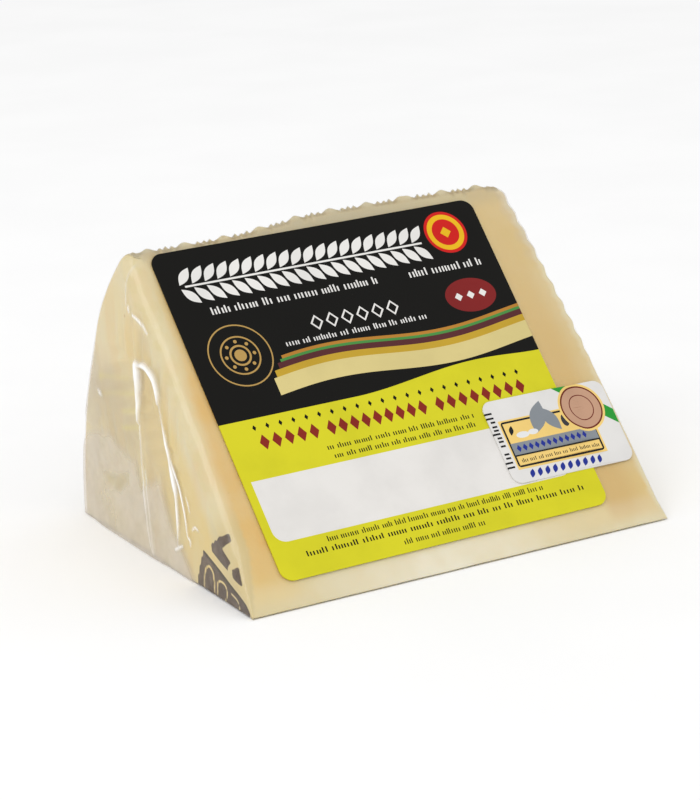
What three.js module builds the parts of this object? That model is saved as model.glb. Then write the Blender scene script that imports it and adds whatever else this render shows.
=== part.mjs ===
// A film-wrapped wedge of aged sheep's cheese, lying on one of its two cut faces.
// X runs along the tip edge (the wheel's axis), Y from the tip edge back to the rind, Z up.
// The wedge is swept like a lathe: one profile from flat face to flat face, turned by the cut angle.
import * as THREE from 'three';

const { clamp, degToRad, lerp, smoothstep } = THREE.MathUtils;

// Driving dimensions, in millimetres and radians.
const WHEEL_HEIGHT = 112;
const WHEEL_RADIUS = 94.8;
const CUT_ANGLE = degToRad(49.3);

// How far each flat face of the wheel falls away from the tip edge's end, halfway out and at the rim.
const LEFT_FALL = { halfway: 2.7, rim: 5.3 };
const RIGHT_FALL = { halfway: 0.6, rim: 3.9 };

// The rims between the flat faces and the rind: depth down the flat face, reach along the rind.
const LEFT_RIM = { depth: 4, reach: 5 };
const RIGHT_RIM = { depth: 3, reach: 3.5 };

// The rind stands highest at one place along the axis and falls off towards both rims.
const CROWN = { at: 82, leftDrop: 0.3, leftSpan: 76, rightDrop: 0.4, rightSpan: 26 };

// Near the left end of its upper edge the rind sags: places along the axis, and the reach down the rind.
const SAG = { depth: 2, starts: [4, 11], ends: [30, 64], down: 14 };

// The upper cut face meets the flat faces and the rind in rounded crests.
const CREST = { left: 4, right: 1.5, rind: 0.8, tipShare: 0.3 };

// The braided mould leaves bands of slanting strands on the rind, with three thin cords between them.
const BAND_START = -1.2;
const BAND_PITCH = 10;
const STRAND_SHARE = 0.52;
const STRAND_COUNT = 8;
const STRAND_HEIGHT = 1.1;
const CORD_COUNT = 3;
const CORD_HEIGHT = 0.6;
const BRAID_FADE = 7;

// The press boards leave leaf shapes on the outer part of the flat faces, ear beside ear.
const EAR_ANGLE = degToRad(24.65);
const LEAF_PITCH = 5.2;
const LEAF_SLANT = 0.8;
const LEAF_HEIGHT = 0.55;
const LEAF_START = 40;
const LEAF_FADE = 12;

// The film stands up in one long fold on the left face: two branches that meet in an arch.
// Its path is given as [Y, Z] from the tip edge.
const FOLD = {
  height: 1.4,
  width: 1.8,
  path: [[51, 3], [54, 18], [54, 40], [50, 46], [44.5, 42], [38.5, 26], [35, 9]],
  fade: 6,
};

// The labels are thin plates on the upper cut face, clear of it and of each other.
const GAP = 0.3;
const THICKNESS = 0.3;
const LABEL = { width: 88, height: 84, radius: 3, fromEnd: 10.3, fromTip: 6.7, turn: 0.009 };
const SEAL = { width: 34.5, height: 21.5, radius: 2.5, fromEnd: 75.9, fromTip: 16.8, turn: 0 };
const SEAL_RAMP = 3;

// How finely the wedge and the seal sticker are divided.
const TURN_STEPS = 32;
const FLAT_STEPS = { inner: 4, outer: 16 };
const RIM_STEPS = 6;
const STRAND_STEPS = 4;
const CORD_STEPS = 6;
const CORNER_STEPS = 4;
const SEAL_STEPS = { across: 12, up: 2 };

const CHEESE_COLOUR = 0xdcc79a;
const LABEL_COLOUR = 0x1c1b18;
const SEAL_COLOUR = 0xeae8e4;

// The fall of a flat face at radius r: a parabola through the tip edge, halfway and the rim.
function fall(shape, r) {
  const u = r / WHEEL_RADIUS;
  return shape.halfway * 4 * u * (1 - u) + shape.rim * u * (2 * u - 1);
}

function leftFaceX(r) {
  return fall(LEFT_FALL, r);
}

function rightFaceX(r) {
  return WHEEL_HEIGHT - fall(RIGHT_FALL, r);
}

function rindRadius(x) {
  const left = Math.max(0, CROWN.at - x) / CROWN.leftSpan;
  const right = Math.max(0, x - CROWN.at) / CROWN.rightSpan;
  return WHEEL_RADIUS - CROWN.leftDrop * left ** 1.5 - CROWN.rightDrop * right ** 1.5;
}

// The radii at which a flat face is divided: few near the tip, more where the leaves are.
function flatRadii(rimDepth) {
  const end = WHEEL_RADIUS - rimDepth;
  const radii = [];
  for (let i = 0; i < FLAT_STEPS.inner; i++) {
    radii.push(LEAF_START * (i / FLAT_STEPS.inner));
  }
  for (let i = 0; i <= FLAT_STEPS.outer; i++) {
    radii.push(lerp(LEAF_START, end, i / FLAT_STEPS.outer));
  }
  return radii;
}

// The places along the axis at which the rind is divided, so that every strand and cord is met.
function rindPlaces(from, to) {
  const shares = [];
  for (let i = 0; i < STRAND_STEPS; i++) {
    shares.push(STRAND_SHARE * (i / STRAND_STEPS));
  }
  for (let i = 0; i < CORD_STEPS; i++) {
    shares.push(lerp(STRAND_SHARE, 1, i / CORD_STEPS));
  }
  const places = [];
  for (let band = 0; BAND_START + band * BAND_PITCH < to; band++) {
    for (const share of shares) {
      const x = BAND_START + (band + share) * BAND_PITCH;
      if (x > from + 0.5 && x < to - 0.5) places.push(x);
    }
  }
  return places;
}

function rimCurve(faceX, rimX, rim, side) {
  const low = WHEEL_RADIUS - rim.depth;
  const inner = rimX + side * rim.reach;
  return new THREE.QuadraticBezierCurve(
    new THREE.Vector2(faceX(low), low),
    new THREE.Vector2(rimX, rindRadius(rimX)),
    new THREE.Vector2(inner, rindRadius(inner)),
  );
}

// The wedge's profile from the left end of the tip edge round to its right end.
// Its x runs along the axis and its y outwards.
function profile() {
  const leftRimX = leftFaceX(WHEEL_RADIUS);
  const rightRimX = rightFaceX(WHEEL_RADIUS);
  const points = flatRadii(LEFT_RIM.depth).map((r) => new THREE.Vector2(leftFaceX(r), r));
  points.push(...rimCurve(leftFaceX, leftRimX, LEFT_RIM, 1).getPoints(RIM_STEPS).slice(1));
  for (const x of rindPlaces(leftRimX + LEFT_RIM.reach, rightRimX - RIGHT_RIM.reach)) {
    points.push(new THREE.Vector2(x, rindRadius(x)));
  }
  points.push(...rimCurve(rightFaceX, rightRimX, RIGHT_RIM, -1).getPoints(RIM_STEPS).reverse());
  const rightFlat = flatRadii(RIGHT_RIM.depth).reverse().slice(1);
  points.push(...rightFlat.map((r) => new THREE.Vector2(rightFaceX(r), r)));
  return points;
}

// Outward normals of the profile, from each point's two neighbours.
function profileNormals(points) {
  return points.map((_, i) => {
    const before = points[Math.max(0, i - 1)];
    const after = points[Math.min(points.length - 1, i + 1)];
    const along = after.clone().sub(before).normalize();
    return new THREE.Vector2(-along.y, along.x);
  });
}

// The braid's height on the rind, x along the axis and arc round the wheel.
function braid(x, angle) {
  const bands = (x - BAND_START) / BAND_PITCH;
  const band = Math.floor(bands);
  const share = bands - band;
  if (share > STRAND_SHARE) {
    const cord = ((share - STRAND_SHARE) / (1 - STRAND_SHARE)) * CORD_COUNT;
    return CORD_HEIGHT * Math.sin(Math.PI * cord) ** 2;
  }
  const across = share / STRAND_SHARE;
  const slant = band % 2 ? across : 1 - across;
  const turn = (angle / CUT_ANGLE) * STRAND_COUNT + slant;
  const strand = 0.45 + 0.55 * Math.sin(Math.PI * turn) ** 2;
  return STRAND_HEIGHT * strand * Math.sin(Math.PI * across) ** 0.7;
}

// The leaves' height on a flat face: slanting leaves on both sides of each ear's stalk.
function leaves(r, angle) {
  const side = ((angle % EAR_ANGLE) - EAR_ANGLE / 2) * r;
  const reach = (EAR_ANGLE / 2) * r;
  const leaf = Math.sin((Math.PI * (r - LEAF_SLANT * Math.abs(side))) / LEAF_PITCH) ** 2;
  const edge = 1 - (Math.abs(side) / reach) ** 4;
  return LEAF_HEIGHT * leaf * edge * smoothstep(r, LEAF_START, LEAF_START + LEAF_FADE);
}

function distanceToSegment(point, from, to) {
  const along = to.clone().sub(from);
  const share = clamp(point.clone().sub(from).dot(along) / along.lengthSq(), 0, 1);
  return point.distanceTo(from.clone().addScaledVector(along, share));
}

// The film fold's height on the left face; it runs out before it reaches the ground.
function filmFold(r, angle) {
  const here = new THREE.Vector2(r * Math.cos(angle), r * Math.sin(angle));
  const path = FOLD.path.map(([y, z]) => new THREE.Vector2(y, z));
  let near = Infinity;
  for (let i = 1; i < path.length; i++) {
    near = Math.min(near, distanceToSegment(here, path[i - 1], path[i]));
  }
  return FOLD.height * Math.exp(-((near / FOLD.width) ** 2)) * smoothstep(here.y, 0, FOLD.fade);
}

// How far the rind sags at the left end of its upper edge.
function sag(x, angle) {
  const down = (CUT_ANGLE - angle) * WHEEL_RADIUS;
  const along = smoothstep(x, ...SAG.starts) * (1 - smoothstep(x, ...SAG.ends));
  return SAG.depth * along * (1 - smoothstep(down, 0, SAG.down));
}

// How far the skin draws in towards the upper cut face, which rounds the crest between them.
function crestDraw(radius, r, angle) {
  const round = Math.min(radius, CREST.tipShare * r * CUT_ANGLE);
  const near = r * (CUT_ANGLE - angle);
  return near < round ? round - Math.sqrt(round ** 2 - (round - near) ** 2) : 0;
}

// One point of the wedge's skin: a profile point with its relief, turned by an angle from the base.
function skinPoint(point, normal, angle) {
  const onRind = smoothstep(normal.y, 0.5, 0.95);
  const onLeft = normal.x < 0;
  const fromRim = Math.min(point.x - leftFaceX(WHEEL_RADIUS), rightFaceX(WHEEL_RADIUS) - point.x);
  let height = onRind * smoothstep(fromRim, 0, BRAID_FADE) * braid(point.x, angle);
  height += (1 - onRind) * leaves(point.y, onLeft ? angle : angle + EAR_ANGLE / 2);
  if (onLeft) height += (1 - onRind) * filmFold(point.y, angle);
  height -= crestDraw(lerp(onLeft ? CREST.left : CREST.right, CREST.rind, onRind), point.y, angle);
  const x = point.x + normal.x * height;
  const r = point.y + normal.y * height - onRind * sag(point.x, angle);
  return new THREE.Vector3(x, r * Math.cos(angle), r * Math.sin(angle));
}

// A triangle list that keeps each position once, so that the surface closes.
class Skin {
  constructor() {
    this.positions = [];
    this.index = [];
  }

  add(vertex) {
    this.positions.push(vertex.x, vertex.y, vertex.z);
    return this.positions.length / 3 - 1;
  }

  triangle(a, b, c) {
    if (a !== b && b !== c && c !== a) this.index.push(a, b, c);
  }

  quad(a, b, c, d) {
    this.triangle(a, b, c);
    this.triangle(a, c, d);
  }

  geometry() {
    const geometry = new THREE.BufferGeometry();
    geometry.setAttribute('position', new THREE.Float32BufferAttribute(this.positions, 3));
    geometry.setIndex(this.index);
    geometry.computeVertexNormals();
    return geometry;
  }
}

function wedgeGeometry() {
  const points = profile();
  const normals = profileNormals(points);
  const last = points.length - 1;
  const skin = new Skin();
  const leftEnd = skin.add(new THREE.Vector3(0, 0, 0));
  const rightEnd = skin.add(new THREE.Vector3(WHEEL_HEIGHT, 0, 0));
  const tipMiddle = skin.add(new THREE.Vector3(WHEEL_HEIGHT / 2, 0, 0));
  const rows = [];
  for (let j = 0; j <= TURN_STEPS; j++) {
    const angle = CUT_ANGLE * (j / TURN_STEPS);
    rows.push(
      points.map((point, i) => {
        if (i === 0) return leftEnd;
        if (i === last) return rightEnd;
        return skin.add(skinPoint(point, normals[i], angle));
      }),
    );
  }
  for (let j = 0; j < TURN_STEPS; j++) {
    for (let i = 0; i < last; i++) {
      skin.quad(rows[j][i], rows[j + 1][i], rows[j + 1][i + 1], rows[j][i + 1]);
    }
  }
  capCutFace(skin, tipMiddle, rows[0], true);
  capCutFace(skin, tipMiddle, rows[TURN_STEPS], false);
  return skin.geometry();
}

// A cut face: flat triangles from the middle of the tip edge to the outline that one row leaves.
function capCutFace(skin, middle, row, isBase) {
  for (let i = 0; i < row.length - 1; i++) {
    if (isBase) skin.triangle(middle, row[i], row[i + 1]);
    else skin.triangle(middle, row[i + 1], row[i]);
  }
}

function roundedRectangle(width, height, radius) {
  const shape = new THREE.Shape();
  shape.moveTo(radius, 0);
  shape.lineTo(width - radius, 0);
  shape.absarc(width - radius, radius, radius, -Math.PI / 2, 0);
  shape.absarc(width - radius, height - radius, radius, 0, Math.PI / 2);
  shape.absarc(radius, height - radius, radius, Math.PI / 2, Math.PI);
  shape.absarc(radius, radius, radius, Math.PI, 1.5 * Math.PI);
  return shape;
}

// Puts a flat piece on the upper cut face: its x along the axis, its y up the slope, its z outwards.
function layOnSlope(mesh, plate, lift) {
  const slope = new THREE.Group();
  slope.rotation.x = CUT_ANGLE;
  mesh.position.set(plate.fromEnd, plate.fromTip, lift);
  mesh.rotation.z = plate.turn;
  slope.add(mesh);
  return slope;
}

function labelMesh() {
  const geometry = new THREE.ExtrudeGeometry(roundedRectangle(LABEL.width, LABEL.height, LABEL.radius), {
    depth: THICKNESS,
    bevelEnabled: false,
    curveSegments: CORNER_STEPS,
  });
  const material = new THREE.MeshStandardMaterial({ color: LABEL_COLOUR, roughness: 0.45, metalness: 0 });
  const mesh = new THREE.Mesh(geometry, material);
  mesh.name = 'main_label';
  return mesh;
}

// The half width that a rounded rectangle has at a height v above its middle.
function halfWidthAt(plate, v) {
  const over = Math.max(0, Math.abs(v) - (plate.height / 2 - plate.radius));
  return plate.width / 2 - plate.radius + Math.sqrt(Math.max(0, plate.radius ** 2 - over ** 2));
}

// The heights at which the sticker's grid is divided: close together in its round corners.
function stickerRows(plate) {
  const straight = plate.height / 2 - plate.radius;
  const rows = [];
  for (let i = 0; i < CORNER_STEPS; i++) {
    rows.push(-straight - plate.radius * Math.cos(((i / CORNER_STEPS) * Math.PI) / 2));
  }
  for (let i = 0; i <= SEAL_STEPS.up; i++) {
    rows.push(lerp(-straight, straight, i / SEAL_STEPS.up));
  }
  for (let i = CORNER_STEPS - 1; i >= 0; i--) {
    rows.push(straight + plate.radius * Math.cos(((i / CORNER_STEPS) * Math.PI) / 2));
  }
  return rows;
}

// The seal sticker lies over the label's edge and steps down onto the film beside it.
function sealMesh() {
  const labelEdge = LABEL.fromEnd + LABEL.width - SEAL.fromEnd;
  const step = THICKNESS + GAP;
  const skin = new Skin();
  const layers = [0, THICKNESS].map((level) =>
    stickerRows(SEAL).map((v) => {
      const half = halfWidthAt(SEAL, v);
      return Array.from({ length: SEAL_STEPS.across + 1 }, (_, i) => {
        const x = SEAL.width / 2 + lerp(-half, half, i / SEAL_STEPS.across);
        const down = step * smoothstep(x, labelEdge + 1, labelEdge + 1 + SEAL_RAMP);
        return skin.add(new THREE.Vector3(x, SEAL.height / 2 + v, level - down));
      });
    }),
  );
  const [under, over] = layers;
  const top = under.length - 1;
  const side = SEAL_STEPS.across;
  for (let j = 0; j < top; j++) {
    for (let i = 0; i < side; i++) {
      skin.quad(over[j][i], over[j][i + 1], over[j + 1][i + 1], over[j + 1][i]);
      skin.quad(under[j][i], under[j + 1][i], under[j + 1][i + 1], under[j][i + 1]);
    }
    skin.quad(under[j][side], under[j + 1][side], over[j + 1][side], over[j][side]);
    skin.quad(under[j + 1][0], under[j][0], over[j][0], over[j + 1][0]);
  }
  for (let i = 0; i < side; i++) {
    skin.quad(under[0][i], under[0][i + 1], over[0][i + 1], over[0][i]);
    skin.quad(under[top][i + 1], under[top][i], over[top][i], over[top][i + 1]);
  }
  const material = new THREE.MeshStandardMaterial({ color: SEAL_COLOUR, roughness: 0.4, metalness: 0 });
  const mesh = new THREE.Mesh(skin.geometry(), material);
  mesh.name = 'seal_sticker';
  return mesh;
}

function wedgeMesh() {
  const material = new THREE.MeshStandardMaterial({ color: CHEESE_COLOUR, roughness: 0.35, metalness: 0 });
  const mesh = new THREE.Mesh(wedgeGeometry(), material);
  mesh.name = 'wrapped_wedge';
  return mesh;
}

const wedge = wedgeMesh();
wedge.geometry.computeBoundingBox();
const middle = wedge.geometry.boundingBox.getCenter(new THREE.Vector3());

// The origin is on the ground, under the middle of the wedge's box.
const cheese = new THREE.Group();
cheese.position.set(-middle.x, -middle.y, 0);
cheese.add(wedge);
cheese.add(layOnSlope(labelMesh(), LABEL, GAP));
cheese.add(layOnSlope(sealMesh(), SEAL, 2 * GAP + THICKNESS));

const part = new THREE.Group();
part.add(cheese);

export default part;
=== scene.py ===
"""A wedge of aged sheep's cheese in clear film, with a printed label and a seal sticker.

The wedge is measured in millimetres in its own frame: x along the tip edge, y from the tip edge back
to the rind, z up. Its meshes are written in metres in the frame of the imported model.
"""

import math
import random

import bmesh
import bpy
import numpy as np
from mathutils import Matrix, Vector, noise
from mathutils.geometry import delaunay_2d_cdt


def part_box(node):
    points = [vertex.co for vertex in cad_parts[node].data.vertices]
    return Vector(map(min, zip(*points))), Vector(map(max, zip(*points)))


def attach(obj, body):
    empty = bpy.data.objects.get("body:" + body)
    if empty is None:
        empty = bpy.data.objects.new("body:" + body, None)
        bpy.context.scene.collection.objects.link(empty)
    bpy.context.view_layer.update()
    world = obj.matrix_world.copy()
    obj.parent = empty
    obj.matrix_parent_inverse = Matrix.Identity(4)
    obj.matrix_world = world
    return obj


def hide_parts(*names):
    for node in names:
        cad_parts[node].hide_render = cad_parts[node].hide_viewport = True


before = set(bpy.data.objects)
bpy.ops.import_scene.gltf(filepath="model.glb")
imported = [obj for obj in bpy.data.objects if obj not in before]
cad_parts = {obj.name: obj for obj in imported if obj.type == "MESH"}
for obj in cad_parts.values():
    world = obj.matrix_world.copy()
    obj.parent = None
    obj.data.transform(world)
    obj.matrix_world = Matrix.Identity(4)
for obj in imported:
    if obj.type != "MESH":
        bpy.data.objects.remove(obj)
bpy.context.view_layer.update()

MM = 0.001

# The wedge, in millimetres and radians, as its solid is built.
WHEEL_HEIGHT = 112
WHEEL_RADIUS = 94.8
CUT_ANGLE = math.radians(49.3)
LEFT_FALL = {"halfway": 2.7, "rim": 5.3}
RIGHT_FALL = {"halfway": 0.6, "rim": 3.9}
LEFT_RIM = {"depth": 4, "reach": 5}
RIGHT_RIM = {"depth": 3, "reach": 3.5}
CROWN = {"at": 82, "left_drop": 0.3, "left_span": 76, "right_drop": 0.4, "right_span": 26}
SHOULDER = {"out": 1.3, "from_angle": (0.42, 0.66), "from_radius": (66, 88)}
SAG = {"depth": 2.4, "starts": (3, 11), "ends": (30, 60), "down": 14}

# Rounded edges: the crests beside the upper cut face, and all the others.
CREST = {"left": 4, "right": 1.5, "rind": 0.8, "base": 0.35, "tip": 0.4, "tip_share": 0.3}

# The braid that the mould leaves on the rind, and the leaves that the press boards leave.
BAND_START = -1.2
BAND_PITCH = 10
STRAND_SHARE = 0.52
STRAND_COUNT = 8
STRAND_HEIGHT = 1.1
CORD_COUNT = 3
CORD_HEIGHT = 0.9
BRAID_FADE = 7
EAR_ANGLE = math.radians(24.65)
LEAF_PITCH = 5.2
LEAF_SLANT = 0.8
LEAF_HEIGHT = 0.55
LEAF_START = 40
LEAF_FADE = 12

# How far the film spans the grooves between the leaves, and where they run out before the left rim.
SPAN = {"left": 0.85, "right": 0.2}
LEFT_RUN_OUT = (78, 88)

# The film lies this far outside the cheese where it clings, and stands off by a little more here and there.
CLING = {"least": 0.08, "wide": 0.05, "fine": 0.02}

# How finely the cheese and the film are divided on each side, round the wedge and on the cut faces.
CHEESE_STEPS = {"left": 0.7, "rind": 0.36, "right": 0.9, "turn": 0.7, "cap": 1.1}
FILM_STEPS = {"left": 0.42, "rind": 0.36, "right": 1.1, "turn": 0.55, "cap": 2.5}
INSIDE_ONLY = 1

# The sheets on the upper cut face: place along the axis and up the slope, size, corner and turn.
LABEL = {"from_end": 10.3, "from_tip": 6.7, "width": 88, "height": 84, "radius": 3, "turn": 0.009}
SEAL = {"from_end": 75.9, "from_tip": 16.8, "width": 34.5, "height": 21.5, "radius": 2.5, "turn": 0}
LABEL_LEVELS = (0.12, 0.42)
SEAL_LEVELS = (0.5, 0.8)
SEAL_STEP = 0.42
SEAL_RAMP = 3

# Folds of the film on the two flat faces: each one's height and, along it, points with the place
# (y, z), the half width of the light line on it and how white that line is. The light line is a whitened
# crease with a painted highlight along it.
LEFT_FOLDS = [
    (1.2, [(55, 45.4, 0.8, 1), (54.8, 43.6, 1.5, 1), (54.7, 41, 1.5, 0.85), (54.6, 38.5, 1.15, 0.8),
           (54.6, 35.5, 0.7, 1), (54.7, 32, 0.4, 0.5)]),
    (1.2, [(54.6, 45.4, 0.8, 1), (52.6, 45.6, 0.6, 0.75), (51, 45.8, 0.75, 1), (49.2, 45.4, 0.85, 1),
           (47, 44.5, 0.95, 1), (45.4, 43.1, 0.95, 1), (44.1, 41, 0.8, 1), (43.4, 38.8, 0.45, 0.6)]),
    (0.5, [(54.7, 32, 0.33, 0.5), (54.4, 24, 0.33, 0.38), (54, 19, 0.33, 0.45), (53, 14, 0.35, 0.5),
           (52.3, 10, 0.33, 0.4), (51.5, 5.3, 0.33, 0.35), (50.4, 1.3, 0.3, 0.3)]),
    (0.3, [(52.7, 20.5, 0.3, 0.3), (52, 16, 0.3, 0.35), (51.3, 12.5, 0.3, 0.35), (50.6, 7.3, 0.3, 0.3),
           (50, 1.6, 0.3, 0.2)]),
    (0.7, [(44, 40, 0.33, 0.3), (42.5, 35.5, 0.33, 0.35), (41.2, 31.5, 0.5, 0.95), (40, 28.5, 0.6, 1),
           (39.2, 26, 0.5, 0.8), (38.7, 23.8, 0.95, 1), (37.8, 20.7, 1.05, 1), (37.1, 18.2, 0.6, 0.8),
           (36.9, 15.3, 0.55, 1), (36.7, 12.3, 0.5, 0.9), (36.7, 9.2, 0.4, 0.5), (36.4, 7, 0.3, 0.2)]),
    (0.4, [(39, 27, 0.3, 0.4), (37.5, 24, 0.35, 0.9), (35.8, 21.4, 0.4, 1), (34.5, 18.7, 0.4, 1),
           (33.3, 15.8, 0.38, 0.95), (32.5, 13, 0.35, 0.8), (32, 10.5, 0.3, 0.6), (30.7, 9.8, 0.35, 0.8),
           (30.6, 8.6, 0.3, 0.5)]),
    (0.3, [(38.4, 5.6, 0.3, 0.6), (36.6, 6.5, 0.35, 0.8), (35, 7.3, 0.3, 0.7)]),
    (0.2, [(32.3, 19.3, 0.3, 0.4), (31.4, 18, 0.35, 0.6), (30.7, 16.5, 0.3, 0.4)]),
    (0.2, [(29.6, 12.5, 0.3, 0.4), (28, 13.5, 0.35, 0.7), (26.4, 13.2, 0.3, 0.4)]),
    (0.2, [(58.5, 67.5, 0.25, 0.15), (58.7, 63, 0.25, 0.3), (58.8, 58.4, 0.25, 0.35)]),
    (0.3, [(57.5, 58.1, 0.45, 0.7), (57.3, 57.5, 0.45, 0.7)]),
    (0.3, [(55.3, 56.8, 0.28, 0.9), (53.1, 56.1, 0.35, 0.95), (51, 55, 0.3, 0.7), (49.4, 53.4, 0.25, 0.4)]),
    (0.3, [(79.4, 33.9, 0.5, 0.2), (78.2, 33.4, 0.6, 0.6), (76.6, 33.2, 0.4, 0.2)]),
]
RIGHT_FOLDS = [
    (0.7, [(88, 12, 0.3, 0.3), (80, 15.5, 0.5, 0.8), (72, 17.5, 0.7, 1), (63, 18, 0.4, 0.7),
           (52, 16.5, 0.3, 0.35), (40, 13.5, 0.3, 0.2)]),
    (0.5, [(72, 17.5, 0.5, 0.6), (68.5, 22, 0.45, 0.8), (66.5, 27.5, 0.35, 0.7), (65.5, 34, 0.3, 0.3)]),
    (0.4, [(58, 60, 0.25, 0.2), (56.5, 54, 0.3, 0.4), (54.5, 48.5, 0.4, 0.8), (51.5, 43.5, 0.3, 0.4)]),
    (0.3, [(38, 26, 0.25, 0.3), (33, 22.5, 0.35, 0.7), (28.5, 18, 0.3, 0.4)]),
    (0.3, [(84, 30, 0.3, 0.3), (81, 34, 0.4, 0.6), (79.5, 38.5, 0.3, 0.3)]),
]

# Where the film stands off a flat face and clouds it: outlines as (y, z), soft border, height and share.
LEFT_POCKETS = [
    {"outline": [(100, -2), (100, 17), (91, 18.5), (86.5, 21.8), (79, 24.3), (73, 24.8), (66, 23), (58, 21.5),
                 (55.5, 16), (50, 18), (45, 20.5), (43, 15), (40, 9.5), (36.5, 7), (34, 5), (31, 2),
                 (27, -2)],
     "soft": 2.0, "height": 0.35, "share": 1.0},
    {"outline": [(99, 20), (97, 62), (88, 60), (84, 50), (80, 42), (79, 33), (86, 26)], "soft": 4.5,
     "height": 0.15, "share": 0.85},
    {"outline": [(89, 26.5), (87, 31), (82.7, 32.3), (78.5, 30.5), (77.4, 28.5), (79.5, 25), (83.6, 23.7),
                 (87.5, 24)], "soft": 1.0, "height": 0.3, "share": 0.5},
]
RIGHT_POCKETS = [
    {"outline": [(100, -2), (99, 24), (90, 23), (82, 17), (72, 14.5), (62, 15), (55, 11), (50, 5), (47, -2)],
     "soft": 2.5, "height": 0.3, "share": 0.9},
    {"outline": [(60, 74), (50, 66), (48, 56), (54, 50), (62, 52), (70, 60)], "soft": 4.5, "height": 0.15,
     "share": 0.6},
]

# Inside the lowest pocket of the left face it touches the cheese again in one patch.
TOUCH = {"outline": [(76.8, 13.8), (62.5, 17.5), (62.9, 14.7), (68, 11.4), (74, 12.1)], "soft": 1.6}

# Colours of the cheese on the left face: bare tan fields, the last a darker streak of painted shade, and
# thin yellow lines, as (y, z).
TAN_AND_SHADE_FIELDS = [
    {"outline": [(54, 45), (44.5, 41.5), (41, 31), (38.5, 23), (37.5, 14), (40, 9.5), (45, 20.5), (52.5, 16),
                 (54.3, 30)], "soft": 1.0, "share": 0.8},
    {"outline": [(54.3, 53), (52.6, 54.3), (50.5, 52), (50.5, 48.5), (53.5, 46.2), (55.6, 48.4)], "soft": 0.9,
     "share": 0.6},
    {"outline": [(84, 20), (84, 36), (74, 42), (58, 42), (56, 22), (66, 23), (79, 24.3)], "soft": 4,
     "share": 0.85},
    # A darker streak beside a fold: painted shade.
    {"outline": [(43.5, 18), (42, 13), (40, 9), (41.5, 9), (44.5, 16)], "soft": 1.2, "share": 0.7},
]
YELLOW_LINES = [
    [(78.5, 37.4, 1.0, 1.0), (75, 38.2, 0.5, 0.6), (61, 40.8, 0.4, 0.4)],
    [(81, 32.5, 0.4, 0.3), (70, 35.2, 0.4, 0.5), (58, 37.7, 0.45, 0.6)],
    [(66.5, 31.5, 0.5, 0.6), (61, 32.8, 0.5, 0.8), (56.5, 33.8, 0.5, 0.6)],
    [(66.8, 27.5, 0.5, 0.7), (61, 28.8, 0.5, 0.8), (56.7, 29.9, 0.5, 0.5)],
]

# A worn stamp by the tip of the left face: blocks, a light edge and rings, as (y, z).
STAMP_BLOCKS = [
    [(13.6, 16.4), (12.2, 14.7), (15.3, 12.3), (11.6, 9.9), (12.5, 7.8), (15.9, 8.7), (20.4, 10.2),
     (20.3, 11.8), (17.7, 13.5), (15.7, 14.9)],
    [(8.0, 10.4), (6.3, 9.2), (5.0, 7.0), (4.2, 5.4), (7.1, 6.1), (10.1, 6.9), (10.5, 8.4), (9.4, 9.4)],
    [(24.6, 9.0), (18.6, 7.2), (12.2, 5.1), (6.3, 3.4), (1.4, 1.3), (3, -1), (29, -1), (28, 2.4),
     (26.5, 5.9)],
]
STAMP_EDGE = [(24.6, 8.9, 0.45, 1), (18.6, 7.1, 0.5, 1), (12.2, 5.0, 0.45, 1), (6.3, 3.3, 0.35, 0.8),
              (2.2, 1.8, 0.3, 0.6)]
STAMP_RINGS = [
    [(25.0, 0.6, 0.5, 1), (24.4, 4.2, 0.5, 1), (22.3, 6.1, 0.45, 1), (20.3, 5.4, 0.5, 1), (19.7, 3.4, 0.5, 1),
     (19.9, 0.8, 0.5, 1)],
    [(18.0, 0.8, 0.45, 1), (17.7, 3.5, 0.45, 1), (16.0, 4.3, 0.4, 1), (13.9, 3.9, 0.4, 1),
     (13.2, 2.4, 0.4, 1), (14.0, 0.4, 0.4, 1)],
    [(10.8, 2.9, 0.35, 1), (8.8, 2.5, 0.35, 1), (7.5, 1.8, 0.35, 1), (7.0, 0.6, 0.35, 1)],
]
STAMP_SOFT = 0.22
STAMP_FADE = (0.4, 1.2)
RING_STRENGTH = 0.8

# No stroke is wider than this on either side.
STROKE_REACH = 5

# Camera: what it looks at and from where, with the lens in millimetres on a 36 mm sensor.
LOOKS_AT = (-2.12, -1.68, 29.64)
DISTANCE = 679.4
AZIMUTH = -30.61
ELEVATION = 15.69
ROLL = -2.454
LENS = 129.96

# The studio, in metres: a floor a little below the ground, an even white sky and one soft lamp.
FLOOR = {"half": 4.0, "below": 0.0001}
SKY_STRENGTH = 0.9
KEY_LAMP = {"place": (-1.3, -0.7, 1.5), "size": 1.2, "power": 10, "target": (0, 0, 0.03)}

# The lights are this much stronger than the paints are written for, which keeps the floor white.
PAINT = 0.9


def smooth(value, start, end):
    share = np.clip((value - start) / (end - start), 0, 1)
    return share * share * (3 - 2 * share)


def srgb(red, green, blue, strength=PAINT):
    """A colour for a shader from the usual three bytes."""
    def linear(byte):
        share = byte / 255
        return strength * (share / 12.92 if share <= 0.04045 else ((share + 0.055) / 1.055) ** 2.4)
    return (linear(red), linear(green), linear(blue), 1)


# The wedge's form.

def fall(shape, radius):
    share = radius / WHEEL_RADIUS
    return shape["halfway"] * 4 * share * (1 - share) + shape["rim"] * share * (2 * share - 1)


def left_face(radius):
    return fall(LEFT_FALL, radius)


def right_face(radius):
    return WHEEL_HEIGHT - fall(RIGHT_FALL, radius)


def rind_radius(x):
    left = np.maximum(0, CROWN["at"] - x) / CROWN["left_span"]
    right = np.maximum(0, x - CROWN["at"]) / CROWN["right_span"]
    return WHEEL_RADIUS - CROWN["left_drop"] * left**1.5 - CROWN["right_drop"] * right**1.5


def flat_radii(rim_depth, step):
    """Radii at which a flat face is divided, close together by the tip edge."""
    end = WHEEL_RADIUS - rim_depth
    tip = np.linspace(0, 1.5, 7)
    count = round((end - tip[-1]) / step)
    return np.concatenate([tip, np.linspace(tip[-1], end, count + 1)[1:]])


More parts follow.
